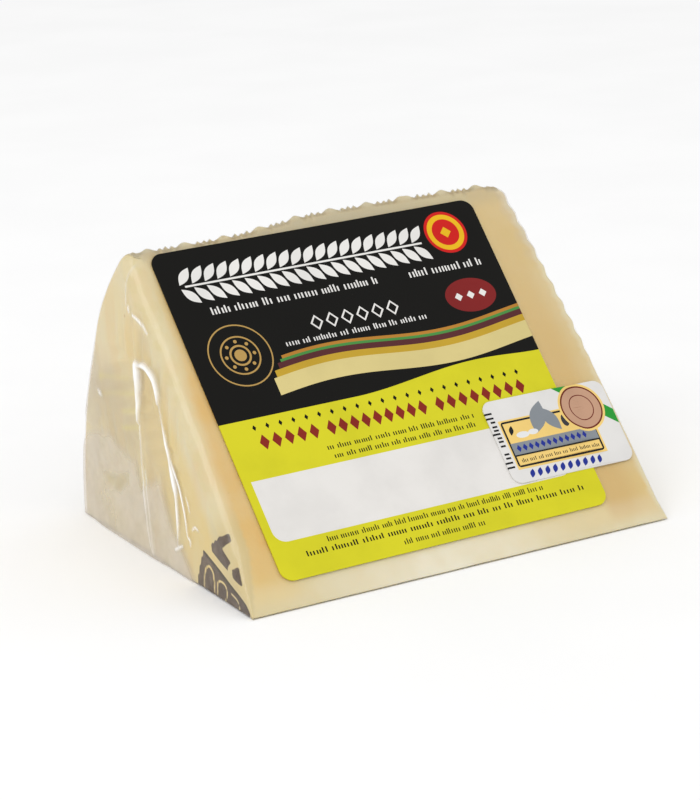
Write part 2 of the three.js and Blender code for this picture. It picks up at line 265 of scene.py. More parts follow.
def rim_curve(face, rim, side, steps):
    """The bend from a flat face into the rind."""
    low = WHEEL_RADIUS - rim["depth"]
    corner_x = face(WHEEL_RADIUS)
    inner = corner_x + side * rim["reach"]
    start, corner, end = (
        np.array(point)
        for point in ((face(low), low), (corner_x, rind_radius(corner_x)), (inner, rind_radius(inner)))
    )
    share = np.linspace(0, 1, steps + 1)[:, None]
    return (1 - share) ** 2 * start + 2 * share * (1 - share) * corner + share**2 * end


def profile(left_step, rind_step, right_step):
    """The wedge's profile from one end of the tip edge round to the other: points and outward normals."""
    left = flat_radii(LEFT_RIM["depth"], left_step)
    right = flat_radii(RIGHT_RIM["depth"], right_step)
    left_bend = rim_curve(left_face, LEFT_RIM, 1, round(7 / rind_step))
    right_bend = rim_curve(right_face, RIGHT_RIM, -1, round(5 / rind_step))
    along = right_bend[-1][0] - left_bend[-1][0]
    rind = np.linspace(left_bend[-1][0], right_bend[-1][0], round(along / rind_step) + 1)[1:-1]
    points = np.concatenate([
        np.stack([left_face(left), left], axis=1)[:-1],
        left_bend,
        np.stack([rind, rind_radius(rind)], axis=1),
        right_bend[::-1],
        np.stack([right_face(right), right], axis=1)[::-1][1:],
    ])
    run = np.gradient(points, axis=0)
    normals = np.stack([-run[:, 1], run[:, 0]], axis=1)
    return points, normals / np.linalg.norm(normals, axis=1, keepdims=True)


def turn_angles(step):
    """The angles from the base to the upper cut face, close together at both of its ends."""
    whole = CUT_ANGLE * WHEEL_RADIUS
    base = CREST["base"] * (1 - np.cos(np.linspace(0, math.pi / 2, 6)))
    crest = CREST["left"] * (1 - np.cos(np.linspace(0, math.pi / 2, 11)))
    count = round((whole - base[-1] - crest[-1]) / step)
    middle = np.linspace(base[-1], whole - crest[-1], count + 1)[1:-1]
    return np.concatenate([base, middle, whole - crest[::-1]]) / WHEEL_RADIUS


def braid(x, angle):
    """Bands of slanting strands on the rind, with three thin cords between them."""
    bands = (x - BAND_START) / BAND_PITCH
    band = np.floor(bands)
    share = bands - band
    cord = (share - STRAND_SHARE) / (1 - STRAND_SHARE) * CORD_COUNT
    cords = CORD_HEIGHT * (1 - np.abs(np.cos(math.pi * cord)) ** 0.9)
    across = np.clip(share / STRAND_SHARE, 0, 1)
    slant = np.where(band % 2 == 1, across, 1 - across)
    turn = angle / CUT_ANGLE * STRAND_COUNT + slant
    strand = 0.45 + 0.55 * np.sin(math.pi * turn) ** 2
    strands = STRAND_HEIGHT * strand * np.sin(math.pi * across) ** 0.7
    return np.where(share > STRAND_SHARE, cords, strands)


def leaves(radius, angle):
    """Slanting leaves on both sides of each ear's stalk, on the outer part of a flat face."""
    side = (angle % EAR_ANGLE - EAR_ANGLE / 2) * radius
    reach = np.maximum(EAR_ANGLE / 2 * radius, 1e-6)
    leaf = np.sin(math.pi * (radius - LEAF_SLANT * np.abs(side)) / LEAF_PITCH) ** 2
    edge = 1 - (np.abs(side) / reach) ** 4
    return LEAF_HEIGHT * leaf * edge * smooth(radius, LEAF_START, LEAF_START + LEAF_FADE)


def sag(x, angle):
    down = (CUT_ANGLE - angle) * WHEEL_RADIUS
    along = smooth(x, *SAG["starts"]) * (1 - smooth(x, *SAG["ends"]))
    return SAG["depth"] * along * (1 - smooth(down, 0, SAG["down"]))


def shoulder(radius, angle):
    """How far the left rim stands out by the upper cut face."""
    upper = smooth(angle, *SHOULDER["from_angle"])
    return SHOULDER["out"] * upper * smooth(radius, *SHOULDER["from_radius"])


def edge_draw(edge, radius, near):
    """How far a face draws in at a distance from an edge with that radius of rounding."""
    limit = np.minimum(edge, CREST["tip_share"] * radius * CUT_ANGLE)
    inside = np.clip(limit - near, 0, None)
    return np.where(near < limit, limit - np.sqrt(np.maximum(limit**2 - inside**2, 0)), 0)


def spline(points, steps=8):
    """A smooth line through points."""
    p = np.array([points[0], *points, points[-1]], float)
    share = np.linspace(0, 1, steps, endpoint=False)[:, None]
    pieces = [
        0.5 * (2 * b + (c - a) * share + (2 * a - 5 * b + 4 * c - d) * share**2
               + (3 * b - a - 3 * c + d) * share**3)
        for a, b, c, d in zip(p, p[1:], p[2:], p[3:])
    ]
    return np.concatenate([*pieces, p[-1:]])


def distance_to_line(y, z, line):
    distance = np.full(y.shape, np.inf)
    for (ay, az), (by, bz) in zip(line, line[1:]):
        length = (by - ay) ** 2 + (bz - az) ** 2
        share = np.clip(((y - ay) * (by - ay) + (z - az) * (bz - az)) / length, 0, 1)
        distance = np.minimum(distance, np.hypot(y - ay - share * (by - ay), z - az - share * (bz - az)))
    return distance


def stroke(y, z, points):
    """A soft line through points (y, z, half width, strength): its strength and closeness at each place."""
    strength = np.zeros(y.shape)
    closeness = np.zeros(y.shape)
    fine = spline(points, 6)
    for (ay, az, a_wide, a_strong), (by, bz, b_wide, b_strong) in zip(fine, fine[1:]):
        here = (np.abs(y - ay) < STROKE_REACH) & (np.abs(z - az) < STROKE_REACH)
        off_y, off_z = y[here] - ay, z[here] - az
        length = max((by - ay) ** 2 + (bz - az) ** 2, 1e-9)
        share = np.clip((off_y * (by - ay) + off_z * (bz - az)) / length, 0, 1)
        away = np.hypot(off_y - share * (by - ay), off_z - share * (bz - az))
        wide = a_wide + share * (b_wide - a_wide)
        strong = a_strong + share * (b_strong - a_strong)
        strength[here] = np.maximum(strength[here], strong * np.exp(-((away / wide) ** 2)))
        closeness[here] = np.maximum(closeness[here], np.exp(-((away / (wide + 0.4)) ** 2)))
    return strength, closeness


def strongest_stroke(y, z, lines):
    return np.max([stroke(y, z, line)[0] for line in lines], axis=0)


def fold_relief_and_highlight(y, z, folds):
    """The height of the film's folds on a flat face and how white they are: whitened creases with painted
    highlights.
    """
    height = np.zeros(y.shape)
    white = np.zeros(y.shape)
    for rise, points in folds:
        strength, closeness = stroke(y, z, points)
        height = np.maximum(height, rise * closeness)
        white = np.maximum(white, strength)
    return height * smooth(z, 0, 4), white


def area_share(y, z, outline, soft):
    """1 inside a closed outline, 0 outside, with a soft border."""
    ring = np.array([*outline, outline[0]], float)
    distance = distance_to_line(y, z, ring)
    inside = np.zeros(y.shape, bool)
    for (ay, az), (by, bz) in zip(ring, ring[1:]):
        if az != bz:
            inside ^= ((az > z) != (bz > z)) & (y < ay + (z - az) * (by - ay) / (bz - az))
    return smooth(np.where(inside, distance, -distance), -soft, soft)


def stand_off(y, z, pockets):
    """How far the film stands off a flat face, and how much it clouds there."""
    height = np.zeros(y.shape)
    cloud = np.zeros(y.shape)
    for pocket in pockets:
        share = area_share(y, z, pocket["outline"], pocket["soft"])
        height = np.maximum(height, pocket["height"] * share)
        cloud = np.maximum(cloud, pocket["share"] * share)
    return height, cloud


class Skin:
    """A surface all round the wedge, with each vertex's place on it kept for the materials."""

    def __init__(self, steps, film):
        points, normals = profile(steps["left"], steps["rind"], steps["right"])
        angles = turn_angles(steps["turn"])
        x, radius = (np.broadcast_to(v, (len(angles), len(points))) for v in points.T)
        turned = np.broadcast_to(angles[:, None], x.shape)
        on_rind = smooth(normals[:, 1], 0.5, 0.95)[None, :]
        on_left = normals[:, 0] < 0
        self.rows, self.columns = x.shape
        height, rim = self.relief(x, radius, turned, on_rind, on_left, film)
        top = radius * (CUT_ANGLE - turned)
        foot = radius * turned
        crest = np.where(on_left, CREST["left"], CREST["right"])
        edge = crest + on_rind * (CREST["rind"] - crest)
        height = height - edge_draw(edge, radius, top) - edge_draw(CREST["base"], radius, foot)
        skin_x = x + normals[:, 0] * height - on_left * shoulder(radius, turned)
        skin_r = radius + normals[:, 1] * height - on_rind * sag(x, turned)
        self.points = [np.stack([skin_x, skin_r, turned], axis=-1).reshape(-1, 3)]
        self.marks = [np.stack(
            [np.broadcast_to(v, x.shape) for v in (on_rind, on_left * 1.0, np.zeros(x.shape), rim)],
            axis=-1).reshape(-1, 4)]
        self.triangles = []
        self.add_skin_faces()
        self.add_cut_faces(skin_x, skin_r, steps["cap"])

    def relief(self, x, radius, angle, on_rind, on_left, film):
        """Height along the profile's normal, and the rind's own height from 0 to 1."""
        from_rim = np.minimum(x - left_face(WHEEL_RADIUS), right_face(WHEEL_RADIUS) - x)
        braided = smooth(from_rim, 0, BRAID_FADE) * braid(x, angle)
        run_out = 1 - on_left * smooth(radius, *LEFT_RUN_OUT)
        leafy = run_out * leaves(radius, angle + np.where(on_left, 0, EAR_ANGLE / 2))
        if not film:
            rise = on_rind * braided + (1 - on_rind) * leafy
            return rise, braided / STRAND_HEIGHT * on_rind + leafy / LEAF_HEIGHT * (1 - on_rind)
        spanned = LEAF_HEIGHT * run_out * smooth(radius, LEAF_START, LEAF_START + LEAF_FADE)
        leafy = leafy + np.where(on_left, SPAN["left"], SPAN["right"]) * (spanned - leafy)
        rise = on_rind * braided + (1 - on_rind) * leafy
        y = radius * np.cos(angle)
        z = radius * np.sin(angle)
        self.white = np.zeros(x.size)
        self.pocket = np.zeros(x.size)
        touch = area_share(y, z, TOUCH["outline"], TOUCH["soft"]) * on_left
        sides = ((on_left, LEFT_FOLDS, LEFT_POCKETS), (~on_left, RIGHT_FOLDS, RIGHT_POCKETS))
        for face, folds, clouds in sides:
            fold, white = fold_relief_and_highlight(y, z, folds)
            off, cloud = stand_off(y, z, clouds)
            here = (1 - on_rind) * face
            rise = rise + here * (off * (1 - touch) + fold)
            # white: the folds' whitened creases with painted highlights along them
            self.white += (here * white).reshape(-1)
            self.pocket += (here * cloud * (1 - 0.75 * touch)).reshape(-1)
        return rise, np.zeros(x.shape)

    def vertex(self, row, column):
        """The number of a vertex of the turned part; each end of the tip edge is one vertex."""
        if column == 0:
            return 0
        if column == self.columns - 1:
            return self.columns - 1
        return row * self.columns + column

    def add_skin_faces(self):
        number = np.arange(self.rows * self.columns).reshape(self.rows, self.columns)
        number[:, 0] = number[0, 0]
        number[:, -1] = number[0, -1]
        a, b = number[:-1, :-1], number[:-1, 1:]
        c, d = number[1:, 1:], number[1:, :-1]
        for corners in ((a, d, c), (a, c, b)):
            faces = np.stack(corners, axis=-1).reshape(-1, 3)
            whole = (faces != np.roll(faces, 1, axis=1)).all(axis=1)
            self.triangles.append(faces[whole])

    def add_cut_faces(self, skin_x, skin_r, step):
        """The two cut faces, triangulated between the skin's first or last row and the tip edge."""
        count = self.rows * self.columns
        tip = np.arange(step, WHEEL_HEIGHT - step / 2, step)
        tip_numbers = list(range(count, count + len(tip)))
        self.add_cut_points(np.stack([tip, tip * 0, tip * 0], axis=1))
        count += len(tip)
        for row, angle in ((0, 0.0), (self.rows - 1, CUT_ANGLE)):
            edge = np.stack([skin_x[row], skin_r[row]], axis=1)
            ring = [self.vertex(row, column) for column in range(self.columns)] + tip_numbers[::-1]
            outline = [*edge.tolist(), *[(x, 0.0) for x in tip[::-1]]]
            inner = self.inner_points(edge, step)
            flat = [Vector(p) for p in [*outline, *inner]]
            loop = list(range(len(outline)))
            made = delaunay_2d_cdt(flat, [], [loop[::-1]], INSIDE_ONLY, 1e-5, True)
            _, _, faces, origins, _, sources = made
            numbers = ring + list(range(count, count + len(inner)))
            taken = np.array([numbers[o[0]] for o in origins])
            corners = taken[np.array([list(face) for face, source in zip(faces, sources) if source])]
            self.triangles.append(corners if angle else corners[:, ::-1])
            self.add_cut_points(np.array([(x, r, angle) for x, r in inner]))
            count += len(inner)

    def inner_points(self, edge, step):
        """Loose points inside a cut face, in rows along the axis."""
        rows = [0.3, 0.6, 0.9, 1.3, *np.arange(2, WHEEL_RADIUS, step)]
        middle = len(edge) // 2
        left, right = edge[:middle], edge[middle:][::-1]
        margin = step * 0.6
        found = []
        for number, r in enumerate(rows):
            low = np.interp(r, left[:, 1], left[:, 0]) + margin
            high = np.interp(r, right[:, 1], right[:, 0]) - margin
            places = np.arange(low + (number % 2) * step / 2, high, step)
            outer = np.interp(places, edge[:, 0], edge[:, 1]) if r > WHEEL_RADIUS - 8 else places * 0 + 999
            found += [(float(x), float(r)) for x, limit in zip(places, outer) if r < limit - margin]
        return found

    def add_cut_points(self, points):
        self.points.append(points)
        self.marks.append(np.tile([0.0, 0.0, 1.0, 0.0], (len(points), 1)))

    def finished(self):
        """Vertices in millimetres from the tip edge's left end, faces, and named marks for each vertex."""
        turned = np.concatenate(self.points)
        x, radius, angle = turned.T
        y, z = radius * np.cos(angle), radius * np.sin(angle)
        y, z = round_tip(y, z)
        marks = np.concatenate(self.marks)
        named = dict(zip(("rind", "left", "cut", "ridge"), marks.T))
        named["angle"] = angle
        named["radius"] = radius
        return np.stack([x, y, z], axis=1), np.concatenate(self.triangles), named


def round_tip(y, z):
    """Draws points near the tip edge in onto a small circle between the two cut faces."""
    half = CUT_ANGLE / 2
    reach = CREST["tip"] / math.sin(half)
    middle = np.array([reach * math.cos(half), reach * math.sin(half)])
    tangent = CREST["tip"] / math.tan(half)
    off = np.stack([y, z], axis=-1) - middle
    away = np.linalg.norm(off, axis=-1)
    along = y * math.cos(half) + z * math.sin(half)
    beyond = (away > CREST["tip"]) & (along < tangent * math.cos(half))
    scale = np.where(beyond, CREST["tip"] / np.maximum(away, 1e-9), 1)
    return middle[0] + off[..., 0] * scale, middle[1] + off[..., 1] * scale


def to_frame(points):
    """Millimetres from the tip edge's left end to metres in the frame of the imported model."""
    low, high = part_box("wrapped_wedge")
    start = np.array([(low.x + high.x) / 2 - WHEEL_HEIGHT * MM / 2, low.y, low.z])
    return points * MM + start


def skin_object(name, points, faces, marks, material):
    mesh = bpy.data.meshes.new(name)
    mesh.from_pydata(to_frame(points).tolist(), [], np.asarray(faces).tolist())
    mesh.validate()
    for key, values in marks.items():
        mesh.attributes.new(key, "FLOAT", "POINT").data.foreach_set("value", np.asarray(values, np.float32))
    mesh.materials.append(material)
    mesh.shade_smooth()
    return linked(name, mesh)


def linked(name, data):
    """A new object in the scene."""
    made = bpy.data.objects.new(name, data)
    bpy.context.scene.collection.objects.link(made)
    return made


def vertex_normals(points, faces):
    across = np.cross(points[faces[:, 1]] - points[faces[:, 0]], points[faces[:, 2]] - points[faces[:, 0]])
    normals = np.zeros(points.shape)
    for corner in range(3):
        np.add.at(normals, faces[:, corner], across)
    return normals / np.maximum(np.linalg.norm(normals, axis=1, keepdims=True), 1e-12)


def wander(points, size, offset):
    """Smooth noise from -1 to 1 for each point, with blobs of about that size in millimetres."""
    shift = Vector((offset, offset * 0.7, -offset))
    return np.array([noise.noise(Vector(p) / size + shift) for p in points])


# Materials.

class Shader:
    """A material with short calls for the nodes that this scene needs."""

    def __init__(self, name):
        self.material = bpy.data.materials.new(name)
        self.material.use_nodes = True
        self.tree = self.material.node_tree
        self.surface = self.tree.nodes["Principled BSDF"]
        self.place = self.tree.nodes.new("ShaderNodeTexCoord").outputs["Object"]

    def node(self, kind, links=(), **settings):
        made = self.tree.nodes.new(kind)
        for key, value in settings.items():
            setattr(made, key, value)
        for socket, value in dict(links).items():
            self.feed(made.inputs[socket], value)
        return made

    def feed(self, socket, value):
        if isinstance(value, bpy.types.NodeSocket):
            self.tree.links.new(value, socket)
        else:
            socket.default_value = value

    def set(self, **values):
        for key, value in values.items():
            self.feed(self.surface.inputs[key.replace("_", " ")], value)

    def mark(self, name):
        return self.node("ShaderNodeAttribute", attribute_name=name).outputs["Fac"]

    def stretched(self, scale):
        return self.node("ShaderNodeMapping", {"Vector": self.place, "Scale": scale}).outputs["Vector"]

    def noise(self, size, detail=3.0, roughness=0.5, vector=None):
        """Noise with features of about that size in millimetres."""
        links = {"Vector": vector or self.place, "Scale": 1 / (size * MM), "Detail": detail,
                 "Roughness": roughness}
        return self.node("ShaderNodeTexNoise", links).outputs["Fac"]

    def step(self, value, low, high, result=(0.0, 1.0)):
        links = {"Value": value, "From Min": low, "From Max": high, "To Min": result[0], "To Max": result[1]}
        return self.node("ShaderNodeMapRange", links, interpolation_type="SMOOTHSTEP").outputs["Result"]

    def times(self, first, second):
        return self.node("ShaderNodeMath", {0: first, 1: second}, operation="MULTIPLY").outputs[0]

    def plus(self, first, second):
        return self.node("ShaderNodeMath", {0: first, 1: second}, operation="ADD").outputs[0]

    def mix(self, share, first, second):
        return self.node("ShaderNodeMix", {"Factor": share, 6: first, 7: second}, data_type="RGBA").outputs[2]

    def blend(self, share, first, second):
        """A mix of two surfaces."""
        return self.node("ShaderNodeMixShader", {"Fac": share, 1: first, 2: second}).outputs["Shader"]

    def bump(self, height, distance, strength=1.0):
        links = {"Height": height, "Distance": distance * MM, "Strength": strength}
        return self.node("ShaderNodeBump", links).outputs["Normal"]


# Tints of the cheese in the order of painting: the mark that places it, how it breaks up, and its colour.
TINTS = [
    # tan: bare tan fields, and one darker streak of painted shade.
    ("tan", "patchy", (204, 186, 148)),
    ("golden", "patchy", (230, 205, 138)),
    ("amber", "patchy", (230, 188, 112)),
    ("honey", "whole", (218, 184, 118)),
    # A pale band along the left crest: a painted highlight.
    ("pale_crest_highlight", "flecked", (222, 206, 156)),
    ("moss", "whole", (212, 192, 136)),
    ("cream", "patchy", (246, 238, 215)),
    ("yellow", "thin", (226, 212, 124)),
]
THIN = 0.6

# Mottles of the rind: noise size in mm, detail, roughness, the range that shows, strength and colour.
MOTTLES = [
    (16, 3, 0.5, (0.4, 0.62), 0.45, (182, 174, 152)),
    (3.5, 5, 0.65, (0.5, 0.66), 0.5, (154, 136, 98)),
    (2.2, 4, 0.6, (0.56, 0.7), 0.6, (222, 214, 186)),
]
RIND_COVER = 0.9
INK_COVER = 0.95
HOLE_SPACING = 9


def painted_rind(s):
    # The rind is painted darker in the braid's grooves and paler on its ridges, by the relief's height.
    groove = s.step(s.mark("ridge"), 0.15, 0.8)
    bark = s.mix(groove, srgb(170, 151, 112), srgb(208, 196, 160))
    for size, detail, roughness, (low, high), strength, rgb in MOTTLES:
        shows = s.step(s.noise(size, detail, roughness), low, high, (0.0, strength))
        bark = s.mix(shows, bark, srgb(*rgb))
    return bark


def stamped(s, colour):
    """The colour with the worn stamp printed on it."""
    edge = s.plus(s.mark("stamp"), s.times(s.plus(s.noise(0.8, 2), -0.5), 0.25))
    ink = s.mix(s.step(s.noise(3, 2), 0.4, 0.7), srgb(82, 66, 60), srgb(108, 92, 82))
    ink = s.mix(s.mark("stamp_edge"), ink, srgb(44, 38, 30))
    return s.mix(s.times(s.step(edge, 0.35, 0.65), INK_COVER), colour, ink)


def cheese_material():
    s = Shader("aged_cheese")
    cloud = s.step(s.noise(14, 3), 0.35, 0.65)
    paste = s.mix(cloud, srgb(224, 205, 152), srgb(227, 212, 168))
    streak = s.step(s.noise(7, 2, vector=s.stretched((1, 1, 0.25))), 0.45, 0.7)
    waxy = s.mix(streak, srgb(228, 214, 174), srgb(228, 206, 160))
    colour = s.mix(s.mark("cut"), waxy, paste)
    breaks = {
        "patchy": s.step(s.noise(9, 2), 0.3, 0.7, (0.65, 1.0)),
        "flecked": s.step(s.noise(2.6, 3, 0.6, s.stretched((1, 0.5, 1))), 0.45, 0.62, (0.35, 1.0)),
        "whole": 1.0,
        "thin": THIN,
    }
    for mark, kind, rgb in TINTS:
        colour = s.mix(s.times(s.mark(mark), breaks[kind]), colour, srgb(*rgb))
    colour = s.mix(s.times(s.mark("rind"), RIND_COVER), colour, painted_rind(s))
    colour = s.mix(s.mark("dry"), colour, srgb(190, 178, 148))
    # Painted shade where the film touches the cheese again inside the lowest pocket.
    colour = s.mix(s.mark("olive_touch_shade"), colour, srgb(186, 172, 128))
    colour = stamped(s, colour)
    holes = s.node("ShaderNodeTexVoronoi", {"Vector": s.place, "Scale": 1 / (HOLE_SPACING * MM)})
    colour = s.mix(s.step(holes.outputs["Distance"], 0.03, 0.055, (0.45, 0.0)), colour, srgb(176, 136, 84))
    grain = s.plus(s.noise(1.6, 4), s.times(s.noise(6, 2), 2.0))
    s.set(Base_Color=colour, Roughness=0.5, Specular_IOR_Level=0.3, Subsurface_Weight=0.2,
          Subsurface_Scale=0.003, Subsurface_Radius=(1.0, 0.7, 0.4), Normal=s.bump(grain, 0.12, 0.5))
    return s.material


VEIL_SHARE = (0.34, 0.56)
GLOSS = {"roughness": 0.12, "edge": 0.3, "edge_power": 5.0, "everywhere": 0.035}


def film_material():
    """Clear film: it clouds where it stands off, its creases are white with painted highlights along them,
    and it shines most at its edges.
    """
    s = Shader("clear_film")
    wrinkle = s.plus(s.noise(5, 3, 0.55, s.stretched((1, 1, 0.35))), s.times(s.noise(1.5, 2), 0.15))
    normal = s.bump(wrinkle, 0.35, 0.6)
    clear = s.node("ShaderNodeBsdfTransparent").outputs["BSDF"]
    veil = s.node("ShaderNodeBsdfDiffuse", {"Color": srgb(239, 229, 215)}).outputs["BSDF"]
    # The folds' creases are whitened and carry painted highlights: a white surface mixed in by the white
    # mark.
    crease_and_highlight = s.node("ShaderNodeBsdfDiffuse", {"Color": srgb(255, 255, 255, 1)}).outputs["BSDF"]
    gloss = s.node("ShaderNodeBsdfGlossy", {"Roughness": GLOSS["roughness"], "Normal": normal}).outputs[0]
    haze = s.times(s.mark("pocket"), s.step(s.noise(11, 3), 0.3, 0.7, VEIL_SHARE))
    body = s.blend(s.mark("white"), s.blend(haze, clear, veil), crease_and_highlight)
    facing = s.node("ShaderNodeLayerWeight", {"Blend": 0.5, "Normal": normal}).outputs["Facing"]
    rim = s.node("ShaderNodeMath", {0: facing, 1: GLOSS["edge_power"]}, operation="POWER").outputs[0]
    shine = s.plus(s.times(rim, GLOSS["edge"]), GLOSS["everywhere"])
    s.feed(s.tree.nodes["Material Output"].inputs["Surface"], s.blend(shine, body, gloss))
    s.tree.nodes.remove(s.surface)
    return s.material


WORN = 0.92
LACQUER = {"Roughness": 0.55, "Specular_IOR_Level": 0.12}


def ink_material(name, colour):
    """Printed paper under a thin lacquer: the ink is slightly uneven and the paper slightly wavy."""
    s = Shader(name)
    worn = (*[part * WORN for part in colour[:3]], 1)
    s.set(Base_Color=s.mix(s.step(s.noise(12, 4), 0.35, 0.7), colour, worn), **LACQUER,
          Normal=s.bump(s.plus(s.noise(16, 2), s.times(s.noise(0.5, 2), 0.03)), 0.4, 0.5))
    return s.material


# Print: every field is an outline in millimetres from the sheet's lower left corner, with its ink.

def rounded_box(x, y, width, height, radius, steps=6):
    centres = [(x + width - radius, y + radius, -90), (x + width - radius, y + height - radius, 0),
               (x + radius, y + height - radius, 90), (x + radius, y + radius, 180)]
    turns = [math.radians(90 * k / steps) for k in range(steps + 1)]
    return [
        (cx + radius * math.cos(math.radians(start) + t), cy + radius * math.sin(math.radians(start) + t))
        for cx, cy, start in centres for t in turns
    ]


def tongue(x, y, width, height, radius):
    """A box with only its two lower corners round."""
    ring = rounded_box(x, y, width, height, radius)
    corner = len(ring) // 4
    return [*ring[:corner], (x + width, y + height), (x, y + height), *ring[-corner:]]


def box(x, y, width, height):
    return [(x, y), (x + width, y), (x + width, y + height), (x, y + height)]


def oval(x, y, half_width, half_height, steps=48):
    turns = [2 * math.pi * k / steps for k in range(steps)]
    return [(x + half_width * math.cos(t), y + half_height * math.sin(t)) for t in turns]


def diamond(x, y, width, height):
    return [(x + width / 2, y), (x, y + height / 2), (x - width / 2, y), (x, y - height / 2)]


def leaf(x, y, length, width, turn, steps=10):
    """A pointed leaf about its middle, turned by degrees."""
    share = [k / steps for k in range(steps)]
    lower = [(length * (k - 0.5), -width / 2 * math.sin(math.pi * k)) for k in share]
    outline = lower + [(-a, -b) for a, b in lower]
    c, d = math.cos(math.radians(turn)), math.sin(math.radians(turn))
    return [(x + a * c - b * d, y + a * d + b * c) for a, b in outline]


def small_print(ink, x, end, y, height, weight, seed, upright=False):
    """A line of fine print as plain ticks in groups, which reads as print but holds no letters."""
    draw = random.Random(seed)
    fields = []
    while x < end - weight:
        for _ in range(draw.randint(3, 9)):
            tall = height * draw.choice((0.68, 0.72, 0.72, 1.0))
            if x < end - weight:
                tick = box(x, y, weight, tall)
                fields.append((ink, [(y + height - b, a) for a, b in tick] if upright else tick))
            x += weight * draw.choice((1.9, 2.1, 2.4))
        x += weight * 2.2
    return fields


def row_of(outline, ink, start, end, pitch):
    """The same outline at even steps along a line."""
    count = round((end - start) / pitch)
    places = [start + (k + 0.5) * (end - start) / count for k in range(count)]
    return [(ink, [(x + place, y) for x, y in outline]) for place in places]


# The label's lower field ends in a wave: its level, a rise and a fall, each between two places.
WAVE = {"level": 39.4, "rise": 2.9, "rises": (36, 70), "fall": 0.8, "falls": (72, 88)}

# The ribbon's left end, level, slope, swing and number of swings, and its stripes from the lowest up.
RIBBON = {"start": 17, "level": 43.4, "slope": 0.016, "swing": 1.3, "swings": 1.1}
POINT_LEVEL = 3.2
STRIPES = [("cream", 4.4), ("ochre", 1.7), ("maroon", 1.5), ("green", 0.7), ("orange", 0.8)]


def wave_height(x):
    rise = WAVE["rise"] * smooth(x, *WAVE["rises"])
    return float(WAVE["level"] + rise - WAVE["fall"] * smooth(x, *WAVE["falls"]))


def label_print():
    """The main label's fields, from the lowest to the uppermost."""
    width, height = LABEL["width"], LABEL["height"]
    wave = [(x, wave_height(x)) for x in np.linspace(0, width, 60)]
    fields = [("black", [*wave, (width, height), (0, height)])]
    fields += ribbon()
    fields += ear_band(4.8, 71, 74.6)
    fields += small_print("white", 9.6, 54, 66.4, 1.9, 0.42, 11)
    fields += small_print("white", 63, 84, 66.2, 2.0, 0.42, 12)
    fields += row_of(diamond(0, 59.6, 3.4, 4.0), "white", 32.2, 57, 4.1)
    fields += row_of(diamond(0, 59.6, 2.3, 2.8), "black", 32.2, 57, 4.1)
    fields += small_print("white", 24.4, 63, 55.1, 1.4, 0.34, 13)
    fields += medal(12.2, 55.2)
    fields += [("red", oval(77.6, 76.3, 5.7, 5.7, 64)), ("seal_yellow", oval(77.6, 76.3, 4.9, 4.9)),
               ("red", oval(77.6, 76.3, 3.6, 3.6)), ("seal_yellow", diamond(77.6, 76.3, 3.0, 3.0))]
    fields += [("dark_red", oval(76.7, 58.9, 7.0, 4.5))]
    fields += row_of(diamond(0, 58.9, 2.2, 2.2), "white", 71.6, 81.8, 3.4)
    fields += row_of(diamond(0, 37.1, 1.0, 1.5), "black", 6.4, 81, 3.4)
    for start, end in ((7.6, 23.8), (25.2, 52.8), (54.4, 80.2)):
        fields += row_of(diamond(0, 33.3, 2.5, 3.9), "brick", start, end, 3.1)
    fields += small_print("black", 23.6, 63.7, 28.1, 1.3, 0.3, 14)
    fields += small_print("black", 24.5, 63, 25.8, 1.3, 0.3, 15)
    fields += [("paper", tongue(2, 9.1, 80, 15.5, 3))]
    fields += small_print("black", 14.3, 73, 6.9, 1.35, 0.28, 16)
    fields += small_print("black", 8, 83, 4.6, 1.35, 0.38, 17)
    fields += small_print("black", 32.3, 54.5, 1.9, 1.35, 0.28, 18)
    return fields


def ear_band(start, end, y):
    """A stalk with slanting leaves above and below it."""
    fields = [("white", box(start + 1, y - 0.25, end - start - 2, 0.5))]
    for side in (1, -1):
        fields += row_of(leaf(0, y + side * 2.6, 5.6, 2.3, side * 48), "white", start, end, 3.3)
    return fields


def ribbon():
    """A ribbon of stripes in a slow wave, cut to a point at its left end."""
    fields = []
    low = 0.0
    for ink, thick in STRIPES:
        starts = RIBBON["start"] + 0.9 * abs(low + thick / 2 - POINT_LEVEL)
        places = np.linspace(starts, LABEL["width"], 50)
        lower = [(x, ribbon_height(x) + low) for x in places]
        upper = [(x, y + thick) for x, y in lower[::-1]]
        fields.append((ink, lower + upper))
        low += thick
    return fields


def ribbon_height(x):
    along = x - RIBBON["start"]
    turn = 2 * math.pi * RIBBON["swings"] * along / (LABEL["width"] - RIBBON["start"])
    return RIBBON["level"] + RIBBON["slope"] * along + RIBBON["swing"] * math.sin(turn)


def medal(x, y):
    rings = [("gold", 8.0), ("black", 7.65), ("gold", 5.0), ("black", 4.6), ("gold", 2.7), ("black", 2.2),
             ("gold", 1.5)]
    fields = [(ink, oval(x, y, half, half)) for ink, half in rings]
    for turn in (math.radians(45 * k) for k in range(8)):
        fields.append(("gold", oval(x + 3.6 * math.cos(turn), y + 3.6 * math.sin(turn), 0.45, 0.45, 12)))
    return fields


